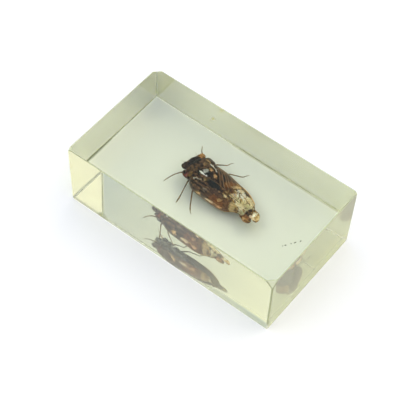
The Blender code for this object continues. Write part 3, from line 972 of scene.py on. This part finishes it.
RIGHT_MARKS = (
    # An air film: its white is a painted reflection of the light.
    ("right film reflection", (4.6, 2.85), (1.7, 0.32), -8, 1.0, (0.97, 0.95, 0.9)),
    ("second spot", (7.1, 1.3), (0.85, 0.42), -10, 0.95, (0.72, 0.42, 0.2)),
    ("rust field", (12.0, 4.1), (1.3, 2.6), -20, 0.85, (0.24, 0.076, 0.01)),
    ("rust edge", (12.7, 6.1), (1.3, 0.8), -10, 0.9, (0.42, 0.19, 0.045)),
    ("tan place", (13.2, 4.7), (0.6, 1.3), -20, 0.9, (0.8, 0.56, 0.3)),
    ("inner brown", (13.9, 1.5), (1.3, 0.7), 0, 0.9, (0.12, 0.052, 0.014)),
    ("cream", (16.3, 2.2), (2.0, 0.9), 0, 0.95, (0.97, 0.78, 0.52)),
    ("pale", (18.7, 3.4), (2.7, 3.1), 0, 0.97, (1.0, 0.87, 0.6)),
    ("silver", (15.9, 4.2), (1.7, 1.5), -15, 0.97, (1.0, 0.96, 0.92)),
    ("silver top", (14.9, 5.3), (0.8, 0.7), 0, 0.8, (1.0, 0.84, 0.66)),
    ("gold line", (14.1, 3.6), (0.8, 0.18), 0, 0.9, (0.9, 0.72, 0.46)),
    ("lilac place", (15.0, 2.45), (0.5, 0.35), 0, 0.9, (0.7, 0.62, 0.66)),
    ("rust tongue", (13.9, 3.0), (1.2, 0.45), -35, 0.95, (0.16, 0.055, 0.012)),
    ("dark crackle", (15.15, 4.05), (0.75, 0.3), 40, 0.95, (0.05, 0.028, 0.014)),
    ("first crack", (16.2, 3.3), (1.1, 0.2), -50, 0.9, (0.12, 0.06, 0.018)),
    ("second crack", (17.5, 3.1), (1.1, 0.18), -50, 0.9, (0.32, 0.18, 0.045)),
    ("third crack", (18.5, 4.3), (1.0, 0.17), -50, 0.8, (0.5, 0.3, 0.08)),
    ("fourth crack", (17.0, 5.0), (0.8, 0.16), -50, 0.8, (0.45, 0.26, 0.08)),
    ("outer edge", (15.2, 6.5), (2.3, 0.42), -9, 0.97, (0.05, 0.022, 0.006)),
    ("tail rim", (23.9, 3.6), (2.0, 2.0), 0, 0.9, (0.38, 0.19, 0.05)),
    ("tail lobe", (24.0, 3.5), (1.25, 1.15), 0, 0.95, (1.0, 0.8, 0.46)),
    ("lobe light", (23.2, 3.7), (0.6, 1.0), 15, 0.95, (1.0, 0.94, 0.8)),
    ("lobe heart", (24.3, 3.5), (0.3, 0.55), 10, 0.8, (0.34, 0.2, 0.045)),
    ("gap", (23.0, 2.4), (0.4, 0.5), 0, 0.8, (0.85, 0.64, 0.46)),
    ("tail band", (21.9, 2.7), (1.55, 0.7), -65, 1.0, (0.02, 0.008, 0.003)),
)


# Greys of the film's underside: painted light shining through the thin film.
FILM_LIT_THROUGH_GREYS = (0.045, 0.047, 0.06), (0.52, 0.54, 0.58)
# Dark specks, and the golden tone of painted glints.
DARK_SPECK, GLINT_SPECK = (0.04, 0.018, 0.008), (0.66, 0.38, 0.16)
CRACK_TONE, STAIN_TONE, RIM_TONE = (0.16, 0.075, 0.018), (0.72, 0.42, 0.13), (0.46, 0.24, 0.085)
CRACK_TURN = radians(-50)


def wing_finish(name, marks, dark, light, slant, crackle_from):
    """Wing film, streaked along its veins; from crackle_from on it is pale and crackled."""
    film = Finish(name, Roughness=0.3, IOR=1.2)
    clean, wavering = bench_place(film)
    streaks = film.grain(film.within(clean, (3.3, 0.55, 1.7), radians(slant)), 1.2)
    cells = film.grain(wavering, 1.6)
    specks = film.grain(clean, 2.2)
    pattern = streaks * 0.5 + cells * 0.5
    colour = film.blend(film.span(streaks, 0.44, 0.58), dark, light)
    colour = mottled(film, colour, pattern, 0.5, 1.5)
    colour = paint_marks(film, wavering, cells, colour, marks)
    # Where the film faces down it is painted in streaked greys: painted light shining through
    # it.
    upward = film.parts(film.add("ShaderNodeNewGeometry", out=3))[2]
    underside = film.blend(film.span(streaks, 0.4, 0.58), *FILM_LIT_THROUGH_GREYS)
    colour = film.blend(film.span(upward, 0.0, -0.3) * 0.9, colour, underside)

    brightness = film.brightness(colour)
    dull = film.span(brightness, 0.6, 0.25)
    colour = mottled(film, colour, cells, 0.95 - dull * 0.2, 1.2)
    dark_specks = film.span(specks, 0.43, 0.35) * (0.2 + dull * 0.5)
    colour = film.blend(dark_specks, colour, DARK_SPECK)
    # Small golden specks on the lighter film: painted glints.
    glint_specks = film.span(specks, 0.59, 0.66) * film.span(brightness, 0.01, 0.04)
    colour = film.blend(glint_specks * 0.6, colour, GLINT_SPECK)

    cracked = film.span(film.parts(wavering)[0], crackle_from, crackle_from + 1.5)
    cells_of_cracks = film.within(wavering, (2.4, 1.0, 1.6), CRACK_TURN)
    values = {"Vector": cells_of_cracks, "Scale": 1.0}
    crackle = film.add("ShaderNodeTexVoronoi", {"feature": "DISTANCE_TO_EDGE"}, values)
    lines = film.span(crackle, 0.15, 0.06) * cracked * film.span(cells, 0.53, 0.61)
    colour = film.blend(lines * 0.9, colour, CRACK_TONE)
    stains = film.span(streaks, 0.56, 0.62) * cracked
    colour = film.blend(stains * 0.5, colour, STAIN_TONE)
    share = film.parts(film.add("ShaderNodeUVMap"))[1]
    colour = film.blend(film.span(share, 0.955, 0.985) * 0.7, colour, RIM_TONE)

    shine = film.span(brightness, 0.45, 0.8) * (1.0 - lines) * 0.9
    cover = 1.0 - shine * cracked * 0.1
    normal = film.bump(pattern, 0.6, 0.12 * MM)
    film.shade(Base_Color=colour, Metallic=shine, Alpha=cover, Normal=normal)
    return film.material


for side, *look in (
    ("left", LEFT_MARKS, (0.01, 0.005, 0.004), (0.085, 0.038, 0.02), 25, 16.5),
    ("right", RIGHT_MARKS, (0.014, 0.004, 0.001), (0.085, 0.028, 0.006), -22, 13.0),
):
    set_in_block(sheets[side], wing_finish(side + " wing film", *look))

# %% [markdown]
# The veins are of the same horn as the legs. On the left wing they turn from tan to rust, on
# the right one from tan to dark, and its swollen outer rim is lit through and golden.

# %% Paint the veins
BODY_LINE = (1.3, 1.6)  # the v between which the left wing ends and the right one starts

coat = Finish("vein", Roughness=0.35, IOR=1.2)
clean, wavering = bench_place(coat)
along, across = coat.parts(wavering)[:2]
left_tone = coat.blend(coat.span(along, 6.0, 12.0), (0.24, 0.16, 0.095), (0.38, 0.19, 0.065))
right_tone = coat.blend(coat.span(along, 11.5, 14.0), (0.38, 0.235, 0.13), (0.08, 0.034, 0.008))
outer_rim = mark(coat, clean, (17.4, 6.9), (4.4, 1.1), -8, 0.1)
right_tone = coat.blend(outer_rim, right_tone, (0.95, 0.56, 0.22))
on_right = coat.span(across + along * 0.05, *BODY_LINE)
coat.shade(Base_Color=coat.blend(on_right, left_tone, right_tone))
for tubes in veins.values():
    set_in_block(tubes, coat.material)

# %% [markdown]
# ## Specks in the resin
# Dust that falls between two pours is sealed in: a short broken row of five specks near the
# right end, and one yellowish, half-clear grain near the back. All start as balls with few
# faces and are wrinkled; those of the row are squeezed along it.

# %% Lay the specks
SPECK_ROW = (28.36, -4.05, 11.0), (31.62, 0.97, 11.0)  # from and to, in millimetres
SPECKS = (  # share of the way along the row, half length, half width
    (0.03, 0.2, 0.13),
    (0.17, 0.32, 0.17),
    (0.45, 0.19, 0.16),
    (0.65, 0.36, 0.18),
    (0.93, 0.32, 0.17),
)
YELLOW_GRAIN, GRAIN_RADIUS = Vector((-13.3, 17.9, 16.0)) * MM, 0.55 * MM

row_start, row_end = (Vector(end) * MM for end in SPECK_ROW)
row = row_end - row_start
grains = []
ball = bpy.ops.mesh.primitive_ico_sphere_add
for number, (share, half_length, half_width) in enumerate(SPECKS):
    turn = (0, 0, atan2(row.y, row.x) + 0.3 * sin(5 * number))  # askew
    size = Vector((half_length, half_width, half_width)) * MM
    place = row_start + row * share
    grains.append(begin(ball, subdivisions=2, location=place, rotation=turn, scale=size))
grains.append(begin(ball, subdivisions=3, radius=GRAIN_RADIUS, location=YELLOW_GRAIN))
specks = join("resin_specks", grains)
wrinkle(specks, 0.05 * MM)

grit = Finish("grit", Roughness=0.6)
where = grit.add("ShaderNodeTexCoord", out=3)
is_speck = grit.span(grit.parts(where)[0], -5 * MM, 5 * MM)
tone = grit.blend(is_speck, (1.0, 0.95, 0.6), (0.04, 0.034, 0.028))
tone = mottled(grit, tone, grit.grain(where, 2.5 / MM, 3.0), 0.8, 1.1)
grit.shade(Base_Color=tone, Alpha=eased(is_speck, 0.65, 1.0))
place_in_frame(specks, [], grit.material)

# %% [markdown]
# ## Floor, light and camera
# A plain white floor lies a hair below the block, so that a film of air is left under it, as
# on a real table: seen through the front, the underside then mirrors the cicada. The light
# is a white studio dome, brightened by soft round lamps and dimmed by soft round shades
# where the block mirrors or bends that part of the room.

# %% Lay the floor
AIR_FILM, FLOOR_SIZE = 0.15 * MM, 4000 * MM

sheet = begin(bpy.ops.mesh.primitive_plane_add, size=FLOOR_SIZE, location=(0, 0, -AIR_FILM))
floor = join("floor", [sheet])
paper = Finish("white paper", Base_Color=(0.94, 0.94, 0.93, 1), Roughness=0.9)
floor.data.materials.append(paper.material)

# %% Light the dome
BASE_LIGHT = (1.21, 1.22, 1.15)
DOME = (  # what it is, azimuth, elevation, inner and outer angle of its soft rim, light added
    ("lamp overhead", 0, 90, 0, 50, (0.57, 0.52, 0.51)),
    ("dark round the camera", -60, 55, 10, 50, (-0.55, -0.52, -0.25)),
    ("lamp at the back", 75, 50, 5, 30, (0.42, 0.38, 0.32)),
    ("gap between the lamps", 137, 48, 5, 25, (-0.65, -0.56, -0.37)),
    ("warm spot back right", 48, 53, 5, 22, (0.58, 0.48, 0.24)),
    ("warm spot back left", 119, 59, 3, 14, (0.48, 0.36, 0.05)),
    ("cool shade on the left", 180, 60, 10, 45, (-0.37, -0.28, -0.03)),
    ("shade on the right", 0, 50, 10, 45, (-0.31, -0.31, -0.18)),
    ("glow low on the left", -150, 20, 10, 50, (0.28, 0.25, 0.12)),
    ("lamp at the front left", -118, 50, 5, 28, (0.34, 0.32, 0.24)),
)


def towards(azimuth, elevation):
    """The direction at these angles in degrees, counted from +X and from the floor."""
    azimuth, elevation = radians(azimuth), radians(elevation)
    flat = cos(elevation)
    return Vector((cos(azimuth) * flat, sin(azimuth) * flat, sin(elevation)))


scene = bpy.context.scene
scene.world = bpy.data.worlds.new("studio dome")
scene.world.use_nodes = True
sky = Nodes(scene.world.node_tree)
ray = sky.add("ShaderNodeTexCoord")
light = BASE_LIGHT
for name, azimuth, elevation, inner, outer, added in DOME:
    facing = sky.vector("DOT_PRODUCT", [ray, towards(azimuth, elevation)], out=1)
    facing.socket.node.label = name
    rim = sky.span(facing, cos(radians(outer)), cos(radians(inner)))
    light = sky.vector("MULTIPLY_ADD", [rim, added, light])
sky.feed(sky.nodes["Background"], {"Color": light})

# %% Set the camera
AZIMUTH, ELEVATION, ROLL = -54.04, 53.6, radians(2.83)  # of the camera's axis
FOCAL_PIXELS, FRAME_PIXELS, SENSOR = 1353.2, 400, 36.0
CAMERA_PLACE = Vector((135.1, -191.1, 326.6)) * MM

back = towards(AZIMUTH, ELEVATION).to_track_quat("Z", "Y").to_matrix().to_4x4()
pose = Matrix.Translation(CAMERA_PLACE) @ back @ Matrix.Rotation(ROLL, 4, "Z")
lens = bpy.data.cameras.new("camera")
lens.sensor_width = SENSOR
lens.lens = FOCAL_PIXELS / FRAME_PIXELS * SENSOR
lens.clip_start = 0.01
camera = bpy.data.objects.new("camera", lens)
camera.matrix_world = pose
scene.collection.objects.link(camera)
bpy.context.scene.camera = camera
print("camera", round((CAMERA_PLACE / MM).length), "mm from the block")

# %% How light is followed
scene.view_settings.view_transform = "Standard"
scene.cycles.use_denoising = True
scene.cycles.max_bounces = 24
scene.cycles.transmission_bounces = 24
scene.cycles.glossy_bounces = 16
scene.cycles.diffuse_bounces = 6
scene.cycles.transparent_max_bounces = 24
scene.cycles.blur_glossy = 0.0
